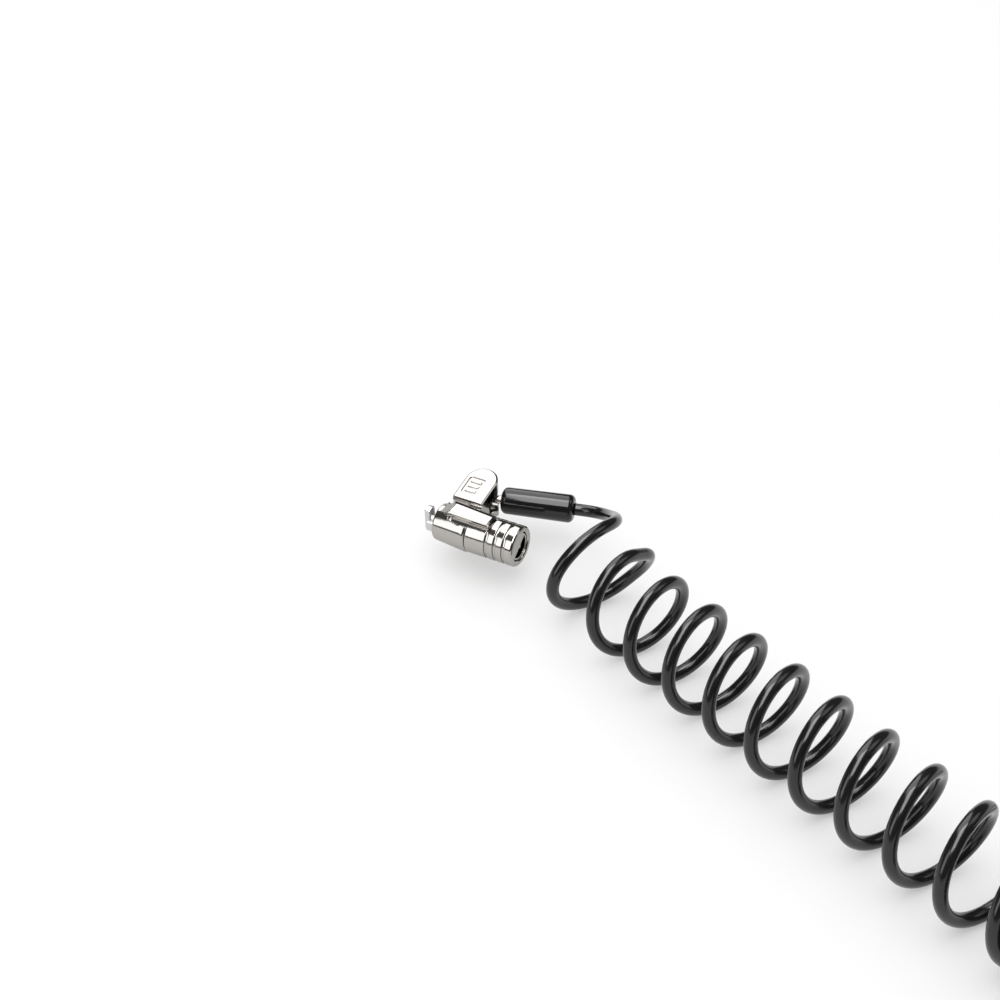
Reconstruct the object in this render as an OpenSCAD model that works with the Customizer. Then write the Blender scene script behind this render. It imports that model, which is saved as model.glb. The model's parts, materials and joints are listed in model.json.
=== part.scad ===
// Laptop cable lock: a locking head for a standard security slot, a swivelling cable
// terminal and a coiled steel cable with a crimped loop at its far end.
//
// All sizes are in millimetres. The origin is the centre of the collar's face on the
// host's wall. +X runs out along the lock's axis, +Z is up, the cable tab points along
// +Y and the table lies at z = -table_drop.

/* [Security slot] */
// Width of the slot in the host's wall
slot_w = 7; // [6.8:0.1:7.6]
// Height of that slot
slot_h = 3; // [2.8:0.1:3.4]
// Thickest wall that the foot hooks behind
wall_grip = 2.2; // [1.6:0.1:3]
// Height of the lock's axis above the table
table_drop = 10; // [9:0.5:14]

/* [T-bar] */
// Thickness of the foot that hooks behind the wall
foot_t = 1.4; // [1:0.1:2]
// Radius of the neck that stands in the slot
neck_r = 1.1; // [0.9:0.05:1.2]
// Radius of the shank and of the cam tube
shank_r = 1.75; // [1.6:0.05:1.9]
// Radius of the drive rod that runs in the cam tube
drive_r = 1.1; // [0.9:0.05:1.2]
// Radius of the cam pin
cam_r = 0.45; // [0.35:0.05:0.5]
// Wall of the cam tube left beyond the helical slot's end
cam_wall = 0.35; // [0.3:0.05:0.5]
// Way that a quarter turn of the key moves the barrel
barrel_lift = 2.5; // [2:0.1:2.6]

/* [Collar] */
// Length of the collar
collar_l = 9.3; // [9:0.1:10.5]
// Thickness of the collar's end wall
end_wall = 3.4; // [3:0.1:3.6]
// Thickness of the collar's wall where it meets the host
base_wall = 0.2; // [0.1:0.05:0.6]
// Thickness of the collar's wall at its mouth
mouth_wall = 0.85; // [0.75:0.05:1.2]
// Radius of the collar's rounded lip
lip_round = 0.65; // [0.4:0.05:0.7]
// Angle from the top at which the slit beside the tongue starts
slit_from = 25; // [22:1:27]
// Angle from the top at which that slit ends
slit_to = 37; // [33:1:42]
// Angle by which that slit widens towards the collar's mouth
slit_flare = 6; // [0:0.5:8]
// Distance from the host's wall to the slit's closed end
slit_x = 3.9; // [3.6:0.1:5]
// Radius of the retaining dowel
dowel_r = 0.6; // [0.4:0.05:0.7]

/* [Tongue] */
// Height of the tongue's end above the barrel's surface
tongue_rise = 0.5; // [0.3:0.05:0.8]
// Slope of the tongue's flat down towards its end
tongue_tilt = 4.5; // [0:0.5:6]
// Width of the tongue's flat
tongue_w = 3.15; // [2.8:0.05:3.3]
// Width of the ledge beside the flat
ledge_w = 1.5; // [0.8:0.1:1.6]
// Drop from the flat to the ledge
ledge_drop = 0.35; // [0.2:0.05:0.5]
// Slope of that ledge towards the cable tab
ledge_fall = 14; // [0:1:18]

/* [Cable tab] */
// Distance from the host's wall to the cable pivot
pivot_x = 4.4; // [4.3:0.1:4.8]
// Distance from the lock's axis to the cable pivot
pivot_y = 12.9; // [12:0.1:15]
// Radius of the tab's round end, which is half its width
tab_r = 4.15; // [3.8:0.05:4.25]
// Height of the slot between the two ears
ear_gap = 3.2; // [2.8:0.1:3.6]
// Thickness of the lower ear
lower_ear = 1.6; // [1.2:0.1:2]
// Distance from the pivot back to the floor of the slot
slot_back = 3.6; // [3:0.1:4]
// Height of the tab's root above the lock's axis
root_top = 3; // [2.6:0.1:3.4]
// Height of the upper ear's step above that root
ear_step = 1; // [0.6:0.1:1.4]
// Distance from the lock's axis to that step
ear_from = 5.9; // [5.6:0.1:7]
// Upward cant of the upper ear's top
ear_cant = 11; // [4:0.5:12]
// Roundness of the rim of the upper ear's top
ear_round = 0.8; // [0.4:0.1:0.9]
// Depth of the panel sunk in the upper ear
panel_depth = 0.3; // [0.15:0.01:0.4]
// Radius of the lug on the lower ear
lug_r = 1.6; // [1.3:0.1:1.6]
// Radius of the hole in the lug
lug_hole_r = 0.68; // [0.5:0.02:0.8]

/* [Barrel] */
// Radius of the barrel
barrel_r = 5.1; // [4.9:0.05:5.6]
// Step from the barrel down to the nose inside the collar
nose_drop = 0.75; // [0.65:0.05:0.85]
// Thickness of the nose's wall
nose_wall = 0.75; // [0.6:0.05:0.9]
// Thickness of the web between the nose and the core
web_t = 0.7; // [0.5:0.05:1]
// Width of each ring groove
groove_w = 0.7; // [0.4:0.05:1]
// Depth of each ring groove
groove_depth = 0.45; // [0.2:0.05:0.5]
// Distance between ring grooves
groove_pitch = 2.35; // [2:0.05:2.5]
// Width of the plain ring at the barrel's end
end_ring = 2.9; // [2.4:0.1:3.4]
// Length of each peg's reach past the collar's face when locked
peg_reach = 2; // [1.5:0.1:2.2]
// Thickness of each peg
peg_t = 1; // [0.8:0.05:1.1]

/* [Core] */
// Radius of the core
core_r = 3.5; // [3.4:0.05:3.6]
// Thickness of the disc cage's wall
cage_wall = 0.5; // [0.4:0.05:0.6]
// Number of code discs
disc_count = 6; // [6]
// Thickness of each code disc
disc_t = 1; // [0.8:0.05:1.1]
// Thickness of each spacer disc
spacer_t = 0.5; // [0.3:0.05:0.6]
// Radius of the half-round keyway
key_r = 2.2; // [1.9:0.05:2.3]
// Radius of the wider keyhole in the core's face
keyhole_r = 2.95; // [2.6:0.05:3.05]
// Radius of the rib that the key's groove fits over in that keyhole
keyhole_rib = 0.95; // [0.6:0.05:1.1]
// Angle of the keyway's flat side from the horizontal
key_angle = 36; // [0:1:90]
// Radius of the sidebar
sidebar_r = 0.5; // [0.4:0.05:0.5]
// Thickness of the core's flange behind the bezel
flange_t = 0.9; // [0.7:0.05:1.1]
// Depth of the core's face inside the barrel's end
face_recess = 0.4; // [0.2:0.05:0.6]
// Thickness of the bezel ring
bezel_t = 1.12; // [1:0.02:1.3]

/* [Cable terminal] */
// Thickness of the eye
eye_t = 2.4; // [2:0.1:2.6]
// Outer radius of the eye
eye_r = 2.6; // [2.3:0.05:2.8]
// Radius of the pivot pin
pivot_r = 1.25; // [1:0.05:1.4]
// Length of the ferrule
ferrule_l = 18.2; // [15:0.1:22]
// Radius of the ferrule at the pivot's end
ferrule_r = 3.35; // [3:0.05:3.6]
// Radius of the ferrule at the cable's end
ferrule_far_r = 3.5; // [3:0.05:3.8]
// Distance from the pivot to the ferrule
ferrule_from = 5.25; // [5.25:0.05:6]
// Roundness of the ferrule's ends
ferrule_round = 1.4; // [0.6:0.1:1.5]
// Direction of the ferrule in plan, from +X towards +Y
ferrule_turn = 15; // [10:0.5:25]
// Radius of the crimp tube inside the ferrule
crimp_r = 2; // [1.8:0.05:2.2]

/* [Cable] */
// Diameter of the cable over its jacket
cable_d = 3; // [2.8:0.1:3.2]
// Radius of the coil at the cable's centre
coil_r = 10.6; // [10:0.1:11]
// Rise of one open turn
open_pitch = 12.4; // [11:0.1:13.5]
// Number of open turns
open_turns = 9.5; // [9.5]
// Rise of one relaxed turn
relaxed_pitch = 4.2; // [3.8:0.1:5]
// Number of relaxed turns
relaxed_turns = 13; // [13]
// Length of the crimp sleeve on the loop
sleeve_l = 15; // [12:0.5:18]
// Wall of that sleeve round the cable
sleeve_wall = 0.5; // [0.4:0.05:0.8]

/* [Fits] */
// Radial clearance of a piece that turns or slides in another
run_gap = 0.08; // [0.05:0.01:0.1]
// End clearance between pieces that move past each other
end_gap = 0.06; // [0.04:0.01:0.1]

/* [Hidden] */
$fn = 64;
past = 0.5;          // how far a cutter runs past the face it cuts

// T-bar, pegs and cam
foot_l = slot_w - 0.8;
foot_w = slot_h - 0.4;
peg_h = slot_h - 0.6;
peg_out = slot_w / 2 - 0.15;
peg_in = peg_out - peg_t;
cam_steps = 12;
cam_slot_r = cam_r + 0.1;

// Radii from the barrel inwards and outwards
nose_r = barrel_r - nose_drop;
sleeve_r = nose_r + run_gap;
cavity_r = nose_r - nose_wall;
base_r = sleeve_r + base_wall;
mouth_r = sleeve_r + mouth_wall;
tongue_top = barrel_r + tongue_rise;
flange_r = core_r + 0.55;
bezel_r = flange_r + 0.4;
window_r = core_r + 0.1;
cage_r = core_r - cage_wall;
disc_r = cage_r - 0.05;
spring_wire_r = 0.18;
spring_r = peg_in - 0.09 - spring_wire_r;
spring_turns = 5;
washer_t = 0.25;

// Stations along the lock's axis when locked
carrier_x = end_wall + 0.2;
carrier_t = 1;
nose_x = carrier_x + carrier_t;
spigot_l = 1.2;
shoulder_x = collar_l + end_gap;
web_x = collar_l - 0.2;
t_bar_end = web_x + web_t - 0.2;
cam_x = t_bar_end - cam_wall - cam_slot_r - barrel_lift;
drive_tip = cam_x - cam_r - 0.35;
cage_x = web_x + web_t + 0.1;
cage_end = 0.7;
disc_x = cage_x + cage_end;
stack_l = disc_count * disc_t + (disc_count - 1) * spacer_t + 0.1;
face_x = disc_x + stack_l;
spigot_depth = 0.4;
flange_x = face_x + spigot_depth + 0.7;
bezel_x = flange_x + flange_t + run_gap;
barrel_end = bezel_x + bezel_t;
core_face = barrel_end - face_recess;
first_groove = barrel_end - end_ring - 2 * groove_pitch;
tongue_end = first_groove - 0.2;
channel_end = tongue_end + 0.2;

// Retaining dowel: it leans from the top towards the cable tab
dowel_x = 2.35;
dowel_lean = 22;
dowel_seat = 0.9;
dowel_top = base_r - 0.35;

// Tongue section, with y running towards the cable tab
tongue_mid = -0.78;
flat_near = tongue_mid - tongue_w / 2;
flat_far = tongue_mid + tongue_w / 2;
ledge_far = flat_far + ledge_w;
channel_near = flat_near - 0.4;
channel_far = ledge_far + 0.25;
tongue_x = 1.2;
tongue_ramp = 3.3;
ramp_top = tongue_top + (tongue_end - tongue_x - tongue_ramp) * tan(tongue_tilt);

// Tab heights
slot_half = ear_gap / 2;
ear_bottom = -slot_half - lower_ear;
lug_at = [pivot_x + 3.5, pivot_y - 1];
lug_hole_at = [pivot_x + 3.3, pivot_y - 0.6];
pivot_top = root_top + 0.1;
pivot_head_r = 2;
pivot_head_t = 0.6;
pivot_bore_r = pivot_r + end_gap;
pivot_washer_t = slot_half - eye_t / 2 - 2 * 0.05;

// Sidebar: it lies at the bottom of the core
sidebar_at = cage_r - 0.02;
gate_r = sidebar_r + 0.03;
key_rib = 0.45;

// Cable terminal, measured along the ferrule from the pivot
crimp_from = ferrule_from + 0.65;
crimp_to = ferrule_from + ferrule_l - 4.7;
rod_to = crimp_from + 4.1;
rope_r = neck_r;
eye_rod_r = neck_r;
ferrule_to = ferrule_from + ferrule_l;
cable_r = cable_d / 2;

// Cable route. The coil's axis points away from the lock, down its own side.
coil_heading = -23;
coil_start = [52.4, -8.5, coil_r + cable_r - table_drop];
coil_phase = -30;
coil_along = [cos(coil_heading), sin(coil_heading), 0];
coil_front = [sin(coil_heading), -cos(coil_heading), 0];
coil_total = open_turns + relaxed_turns;

function unit(v) = v / norm(v);

// Way along the coil's axis after n turns: the pitch eases over one turn.
function coil_way(n) =
    let (m = n - open_turns)
    m <= 0 ? open_pitch * n
    : m < 1 ? open_pitch * n - (open_pitch - relaxed_pitch) * m * m / 2
    : open_pitch * open_turns + (open_pitch + relaxed_pitch) / 2 + relaxed_pitch * (m - 1);

function coil_at(n) =
    coil_start + coil_way(n) * coil_along
    + coil_r * (cos(360 * n) * [0, 0, 1] + sin(360 * n) * coil_front);

function coil_heading_at(n) = unit(coil_at(n + 0.0005) - coil_at(n - 0.0005));

ferrule_along = [cos(ferrule_turn), sin(ferrule_turn), 0];
pivot = [pivot_x, pivot_y, 0];
exit = pivot + ferrule_to * ferrule_along;
first_turn = coil_phase / 360;
lead_tangent = coil_heading_at(first_turn);
lead_end = coil_at(first_turn) - cable_d * lead_tangent;
tail_tangent = coil_heading_at(coil_total);
tail_start = coil_at(coil_total) + cable_d * tail_tangent;
tail_side = [-tail_tangent[1], tail_tangent[0], 0];

// The free stretch from the ferrule to the coil: one slack turn that dips to the table
lead_route = [
    [33.5, 19.4, 0.8], [37.8, 16.6, 3.3], [41.6, 12.0, 7.0], [43.6, 6.4, 10.4],
    [42.7, 0.4, 12.0], [40.8, -5.0, 11.1], [38.6, -9.6, 7.9], [37.1, -11.8, 3.2],
    [37.0, -11.0, -2.0], [38.4, -7.2, -6.2], [41.1, -1.6, -8.4], [44.8, 3.2, -7.4],
    [48.4, 6.0, -3.8], [51.6, 6.4, 0.6], [53.8, 4.2, 5.4]
];

// The tail, as [along it, to its left, up] from the coil's end: it bends back beside the coil
tail_route = [
    [0, 0, 0], [9, 0, 0], [18, 1, 0.1], [27, 4.2, 0.2],
    [34.5, 9.8, 0.3], [39.6, 17.4, sleeve_wall], [42, 26.4, sleeve_wall]
];

// The loop, as [along the sleeve, to its left, up] from the sleeve's end
loop_route = [
    [0, 0, 0], [4, -0.3, 0], [10, -2.6, -0.1], [18, -7.0, -0.3], [27, -10.6, -sleeve_wall],
    [36, -10.0, -sleeve_wall], [42, -5.0, -sleeve_wall], [44, 1.9, -sleeve_wall],
    [42, 8.8, -sleeve_wall], [36, 13.8, -sleeve_wall], [27, 14.4, -sleeve_wall],
    [18, 10.8, -0.3], [10, 6.4, -0.1], [4, 4.1, 0], [0, 3.8, 0]
];
loop_across = 3.8;

function laid(from, along, side, list) =
    [for (p = list) from + p[0] * along + p[1] * side + [0, 0, p[2]]];

tail_points = laid(tail_start, tail_tangent, tail_side, tail_route);
sleeve_start = tail_points[len(tail_points) - 1];
sleeve_along = tail_side;
sleeve_side = -tail_tangent;
loop_start = sleeve_start + sleeve_l * sleeve_along;
loop_points = laid(loop_start, sleeve_along, sleeve_side, loop_route);

// A smooth curve through the middle points of a list, with steps points to each span
function spline(p, i, s) =
    0.5 * (2 * p[i] + (p[i + 1] - p[i - 1]) * s
        + (2 * p[i - 1] - 5 * p[i] + 4 * p[i + 1] - p[i + 2]) * s * s
        + (3 * p[i] - p[i - 1] - 3 * p[i + 1] + p[i + 2]) * s * s * s);

function smooth(p, steps) = concat(
    [for (i = [1 : len(p) - 3]) for (k = [0 : steps - 1]) spline(p, i, k / steps)],
    [p[len(p) - 2]]);

function path_length(p) = let (steps = [for (i = [1 : len(p) - 1]) norm(p[i] - p[i - 1])])
    steps * [for (s = steps) 1];

function lead_path(steps) = smooth(concat(
    [exit - 3 * ferrule_along, exit, exit + 3 * ferrule_along],
    lead_route,
    [lead_end - cable_d * lead_tangent, lead_end, lead_end + cable_d * lead_tangent]), steps);

coil_rings = 8;
coil_path = concat(
    [lead_end],
    [for (n = [first_turn : 1 / coil_rings : coil_total - 0.5 / coil_rings]) coil_at(n)],
    [coil_at(coil_total), tail_start]);

function tail_path(steps) = smooth(concat(
    [tail_start - 8 * tail_tangent], tail_points, [sleeve_start + 8 * sleeve_along]), steps);

function loop_path(steps) = smooth(concat(
    [loop_start - 4 * sleeve_along], loop_points,
    [loop_points[len(loop_points) - 1] - 4 * sleeve_along]), steps);

// The coil's least gap to itself, between points at least half a turn apart
coil_gap = min([for (i = [0 : len(coil_path) - 1])
    for (j = [i + coil_rings / 2 : 1 : len(coil_path) - 1])
        norm(coil_path[i] - coil_path[j])]) - cable_d;

module say_cable() {
    lead = path_length(lead_path(8));
    turn = function (pitch) norm([2 * PI * coil_r, pitch]);
    coil = 2 * cable_d + (open_turns - first_turn) * turn(open_pitch)
        + turn((open_pitch + relaxed_pitch) / 2) + (relaxed_turns - 1) * turn(relaxed_pitch);
    tail = path_length(tail_path(8));
    loop = path_length(loop_path(8));
    echo(lead = lead, coil = coil, tail = tail, sleeve = sleeve_l, loop = loop);
    echo(cable_length = lead + coil + tail + sleeve_l + loop, coil_gap = coil_gap);
}

// ---- Shared shapes ----

// A solid of revolution about the lock's axis, from points [radius, station]
module turned(points) {
    rotate([0, 90, 0]) rotate_extrude() polygon(points);
}

// A cylinder along the lock's axis between two stations
module rod(r, from, to) {
    translate([from, 0, 0]) rotate([0, 90, 0]) cylinder(r = r, h = to - from);
}

// A prism along the lock's axis, drawn in the plane of y and z
module prism(from, to) {
    translate([from, 0, 0]) rotate([90, 0, 90]) linear_extrude(to - from) children();
}

// Places a piece that is drawn along +X on the ferrule's line from the pivot
module on_ferrule_line() {
    translate(pivot) rotate([0, 0, ferrule_turn]) children();
}

// A tube of flat sides along a path, square to the first and last headings
module tube(path, sides, first, last) {
    n = len(path);
    along = [for (i = [0 : n - 1])
        i == 0 ? first : i == n - 1 ? last : unit(path[i + 1] - path[i - 1])];
    start = unit(cross(first, abs(first[2]) < 0.9 ? [0, 0, 1] : [1, 0, 0]));
    across = [for (i = 0, u = start; i < n;
        i = i + 1, u = i < n ? unit(u - (u * along[i]) * along[i]) : u) u];
    points = [for (i = [0 : n - 1]) for (k = [0 : sides - 1])
        path[i] + cable_r * (cos(360 * k / sides) * across[i]
            + sin(360 * k / sides) * cross(along[i], across[i]))];
    walls = [for (i = [0 : n - 2]) for (k = [0 : sides - 1])
        let (a = i * sides + k, b = i * sides + (k + 1) % sides)
        each [[a, a + sides, b], [b, a + sides, b + sides]]];
    caps = [for (k = [1 : sides - 2])
        each [[0, k, k + 1], [(n - 1) * sides, (n - 1) * sides + k + 1, (n - 1) * sides + k]]];
    polyhedron(points, concat(walls, caps), convexity = 10);
}

// ---- Collar, T-bar and tab ----

// The tab's outline in plan
module tab_plan() {
    translate([pivot_x, pivot_y]) circle(tab_r);
    translate([pivot_x - tab_r, 0]) square([2 * tab_r, pivot_y]);
}

// The space below the upper ear's canted top and its rounded rim
module under_ear_top() {
    run = tab_r + 0.15;
    reach = (pivot_y - ear_from) / cos(ear_cant);
    arc = [for (a = [0 : 22.5 : 90])
        [run - ear_round * (1 - cos(a)), -ear_round * (1 - sin(a))]];
    translate([0, ear_from, root_top + ear_step]) rotate([ear_cant, 0, 0]) {
        translate([-past, -past, -3 * tab_r]) cube([3 * tab_r, 4 * tab_r, 3 * tab_r - ear_round]);
        translate([pivot_x, reach, 0]) rotate_extrude()
            polygon(concat([[0, -ear_round - 0.1]], [[run, -ear_round - 0.1]], arc, [[0, 0]]));
        translate([pivot_x, reach, 0]) rotate([90, 0, 0]) linear_extrude(reach)
            polygon(concat([[-run, -ear_round - 0.1], [run, -ear_round - 0.1]], arc,
                [for (i = [len(arc) - 1 : -1 : 0]) [-arc[i][0], arc[i][1]]]));
    }
}

// The panel sunk in the upper ear's top, with plain raised bars
module ear_panel() {
    w = 2 * tab_r - 3.8;
    l = w + 1.3;
    corner = 0.9;
    translate([pivot_x - 0.8, ear_from, root_top + ear_step]) rotate([ear_cant, 0, 0])
        translate([0, 1.7, -panel_depth]) {
            linear_extrude(panel_depth + past) difference() {
                union() {
                    translate([-w / 2 + corner, 0]) square([w - 2 * corner, l]);
                    translate([-w / 2, corner]) square([w, l - 2 * corner]);
                    for (sx = [-1, 1]) for (y = [corner, l - corner])
                        translate([sx * (w / 2 - corner), y]) circle(corner);
                }
                for (i = [0 : 2])
                    translate([-w / 2 + 0.8, 0.9 + i * (l - 2.6) / 2]) square([w - 1.6, 0.8]);
            }
        }
}

module tongue() {
    over = 1.6;
    intersection() {
        translate([tongue_end, 0, tongue_top]) rotate([0, tongue_tilt, 0])
            translate([-tongue_end, 0, -tongue_top])
                prism(tongue_x - past, tongue_end + past) polygon([
                    [0, 2], [flat_near - 0.6, tongue_top - 0.75], [flat_near, tongue_top],
                    [flat_far, tongue_top], [flat_far + 0.12, tongue_top - ledge_drop],
                    [ledge_far, tongue_top - ledge_drop - ledge_w * tan(ledge_fall)],
                    [ledge_far, 2]]);
        translate([0, 2 * barrel_r, 0]) rotate([90, 0, 0]) linear_extrude(4 * barrel_r) polygon([
            [tongue_x, 0], [tongue_x, base_r - 0.1],
            [tongue_x + over * tongue_ramp, base_r - 0.1 + over * (ramp_top - base_r + 0.1)],
            [tongue_end - 0.2 - 1, tongue_top + 1], [tongue_end, tongue_top - 0.2],
            [tongue_end, 0]]);
    }
}

module collar_body() {
    arc = [for (a = [0 : 15 : 90])
        [mouth_r - lip_round * (1 - cos(a)), collar_l - lip_round * (1 - sin(a))]];
    turned(concat([[0, 0], [base_r - 0.4, 0], [base_r, 0.4]], arc, [[0, collar_l]]));
}

module tab_body() {
    root_end = pivot_y - slot_back;
    translate([0, 0, ear_bottom]) linear_extrude(lower_ear) {
        tab_plan();
        translate(lug_at) circle(lug_r);
    }
    translate([pivot_x - tab_r, 0, ear_bottom])
        cube([2 * tab_r, root_end, root_top - ear_bottom]);
    intersection() {
        translate([0, 0, slot_half]) linear_extrude(2 * tab_r) difference() {
            tab_plan();
            translate([-past, -past]) square([4 * tab_r, ear_from + past]);
        }
        under_ear_top();
    }
}

// Widens the slit towards the collar's mouth
module slit_widening() {
    rotate([slit_to, 0, 0]) translate([slit_x, 0, sleeve_r - 1]) rotate([0, 0, -slit_flare])
        cube([2 * collar_l, 0.8, mouth_wall + 2]);
}

// Rounds the outer corner where the slit's lower edge meets the collar's mouth
module slit_corner() {
    r = 0.95;
    inset = 0.92 * r;
    x = collar_l - inset;
    y = -(x - slit_x) * tan(slit_flare) - inset / cos(slit_flare);
    rotate([slit_to, 0, 0]) translate([x, y, sleeve_r - 1]) difference() {
        cube([r + past, r + 0.1, mouth_wall + 2]);
        translate([0, 0, -past]) cylinder(r = r, h = mouth_wall + 2 + 2 * past);
    }
}

module dowel_bore(r, from, to) {
    translate([dowel_x, 0, 0]) rotate([-dowel_lean, 0, 0])
        translate([0, 0, from]) cylinder(r = r, h = to - from);
}

module collar() {
    color("silver") difference() {
        union() {
            collar_body();
            tongue();
            tab_body();
        }
        rod(sleeve_r, end_wall, tongue_end + past);
        rod(shank_r + run_gap / 2, -past, end_wall + past);
        for (side = [-1, 1]) translate([-past, side * (peg_in + peg_out) / 2, 0])
            translate([0, -peg_t / 2 - run_gap, -peg_h / 2 - run_gap])
                cube([end_wall + 2 * past, peg_t + 2 * run_gap, peg_h + 2 * run_gap]);
        prism(slit_x, tongue_end + past) polygon([[0, 0],
            2 * mouth_r * [-sin(slit_from), cos(slit_from)],
            2 * mouth_r * [-sin(slit_to), cos(slit_to)]]);
        slit_widening();
        slit_corner();
        dowel_bore(dowel_r, shank_r - 0.3, mouth_r + past);
        dowel_bore(dowel_r + 0.1, dowel_top, mouth_r + past);
        ear_panel();
        translate([pivot_x, pivot_y, ear_bottom - past])
            cylinder(r = pivot_r, h = pivot_top - ear_bottom + past);
        translate([pivot_x, pivot_y, ear_bottom - past])
            cylinder(r = pivot_head_r, h = pivot_head_t + past);
        translate([lug_hole_at[0], lug_hole_at[1], ear_bottom - past])
            cylinder(r = lug_hole_r, h = lower_ear + 2 * past);
    }
}

module t_bar() {
    color("gainsboro") difference() {
        union() {
            intersection() {
                translate([-wall_grip - foot_t, -foot_w / 2, -foot_l / 2])
                    cube([foot_t, foot_w, foot_l]);
                rod(foot_l / 2, -wall_grip - foot_t, -wall_grip);
            }
            rod(neck_r, -wall_grip - foot_t / 2, 0.5);
            rod(shank_r, 0, t_bar_end);
        }
        rod(drive_r + run_gap / 2, drive_tip - 1.2, t_bar_end + past);
        dowel_bore(dowel_r, dowel_seat, shank_r + past);
        for (i = [0 : cam_steps])
            translate([cam_x + barrel_lift * i / cam_steps, 0, 0])
                rotate([90 - 90 * i / cam_steps, 0, 0])
                    cylinder(r = cam_slot_r, h = 2 * shank_r + 1, center = true);
    }
}

module retaining_dowel() {
    color("dimgray") dowel_bore(dowel_r, dowel_seat, dowel_top);
}

module spring_seat_washer() {
    color("gray") difference() {
        rod(spring_r + spring_wire_r, end_wall + 0.01, end_wall + 0.01 + washer_t);
        rod(shank_r + run_gap / 2, end_wall - past, end_wall + washer_t + past);
    }
}

// Return spring, wound from the washer to the barrel's web
module return_spring() {
    from = end_wall + 0.01 + washer_t + spring_wire_r;
    to = web_x - spring_wire_r;
    sides = 6;
    rings = 8 * spring_turns;
    points = [for (i = [0 : rings]) for (k = [0 : sides - 1])
        let (turn = 45 * i, r = spring_r + spring_wire_r * cos(60 * k))
        [from + (to - from) * i / rings + spring_wire_r * sin(60 * k), r * cos(turn), r * sin(turn)]];
    walls = [for (i = [0 : rings - 1]) for (k = [0 : sides - 1])
        let (a = i * sides + k, b = i * sides + (k + 1) % sides)
        each [[a, b, a + sides], [b, b + sides, a + sides]]];
    caps = [for (k = [1 : sides - 2])
        each [[0, k + 1, k], [rings * sides, rings * sides + k, rings * sides + k + 1]]];
    color("slategray") polyhedron(points, concat(walls, caps), convexity = 10);
}

module pivot_pin() {
    color("gainsboro") translate([pivot_x, pivot_y, ear_bottom]) {
        cylinder(r = pivot_r, h = pivot_top - ear_bottom);
        cylinder(r = pivot_head_r, h = pivot_head_t);
    }
}

module pivot_washer() {
    difference() {
        cylinder(r = eye_r - 0.2, h = pivot_washer_t, center = true);
        cylinder(r = pivot_bore_r, h = pivot_washer_t + 2 * past, center = true);
    }
}

module upper_pivot_washer() {
    color("gray") translate([pivot_x, pivot_y, (slot_half + eye_t / 2) / 2]) pivot_washer();
}

module lower_pivot_washer() {
    color("gray") translate([pivot_x, pivot_y, -(slot_half + eye_t / 2) / 2]) pivot_washer();
}

// ---- Barrel ----

module barrel() {
    end_round = barrel_r - bezel_r;
    arc = [for (a = [0 : 15 : 90])
        [barrel_r - end_round * (1 - cos(a)), barrel_end - end_round * (1 - sin(a))]];
    color("silver") difference() {
        turned(concat(
            [[0, nose_x], [nose_r, nose_x], [nose_r, shoulder_x], [barrel_r - 0.2, shoulder_x],
                [barrel_r, shoulder_x + 0.2]],
            arc, [[0, barrel_end]]));
        for (i = [0 : 2]) difference() {
            rod(barrel_r + past, first_groove + i * groove_pitch,
                first_groove + i * groove_pitch + groove_w);
            rod(barrel_r - groove_depth, first_groove + i * groove_pitch - past,
                first_groove + i * groove_pitch + groove_w + past);
        }
        difference() {
            translate([shoulder_x - past, channel_near, nose_r / 2])
                cube([channel_end - shoulder_x + past, channel_far - channel_near, barrel_r]);
            rod(nose_r, shoulder_x - 2 * past, channel_end + past);
        }
        rod(cavity_r, nose_x - past, web_x);
        rod(shank_r + run_gap, web_x - past, web_x + web_t + past);
        rod(core_r + run_gap, web_x + web_t, barrel_end);
        rod(flange_r + run_gap, flange_x - run_gap, barrel_end + past);
        rod(bezel_r, bezel_x, barrel_end + past);
        translate([0, 0, -sidebar_at - sidebar_r - 0.1])
            rod(gate_r, disc_x - 0.2, face_x + 0.2);
    }
}

module peg_carrier() {
    color("darkgray") difference() {
        union() {
            rod(nose_r, carrier_x, nose_x);
            rod(cavity_r, carrier_x, nose_x + spigot_l);
            for (side = [-1, 1])
                translate([-peg_reach, side * (peg_in + peg_out) / 2 - peg_t / 2, -peg_h / 2])
                    cube([carrier_x + peg_reach + 0.5, peg_t, peg_h]);
        }
        rod(peg_in, carrier_x - run_gap, nose_x + spigot_l + past);
    }
}

module end_bezel() {
    slope = 0.3;
    color("silver") turned([[window_r, bezel_x], [bezel_r, bezel_x], [bezel_r, barrel_end],
        [window_r + slope, barrel_end], [window_r, barrel_end - slope]]);
}

// ---- Core ----

// The half-round keyway with its rib, drawn in the plane of y and z
module keyway(r, rib) {
    rotate(key_angle - 90) difference() {
        intersection() {
            circle(r);
            translate([0, -r]) square([r, 2 * r]);
        }
        circle(rib);
    }
}

module key_face() {
    chamfer = 0.15;
    color("silver") difference() {
        turned([[0, face_x], [cage_r, face_x], [cage_r, face_x + spigot_depth],
            [core_r, face_x + spigot_depth], [core_r, flange_x], [flange_r, flange_x],
            [flange_r, flange_x + flange_t], [core_r + 0.02, flange_x + flange_t],
            [core_r + 0.02, core_face - chamfer], [core_r + 0.02 - chamfer, core_face],
            [0, core_face]]);
        prism(face_x - past, core_face + past) keyway(key_r + 0.1, key_rib);
        prism(face_x + spigot_depth + 0.3, core_face + past) keyway(keyhole_r, keyhole_rib);
    }
}

module disc_cage() {
    color("darkgray") difference() {
        rod(core_r, cage_x, face_x + spigot_depth);
        rod(cage_r, disc_x, face_x + spigot_depth + past);
        rod(drive_r, cage_x - past, disc_x + past);
        translate([disc_x, -gate_r, -core_r - past])
            cube([stack_l, 2 * gate_r, core_r + past - sidebar_at + sidebar_r]);
    }
}

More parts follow.
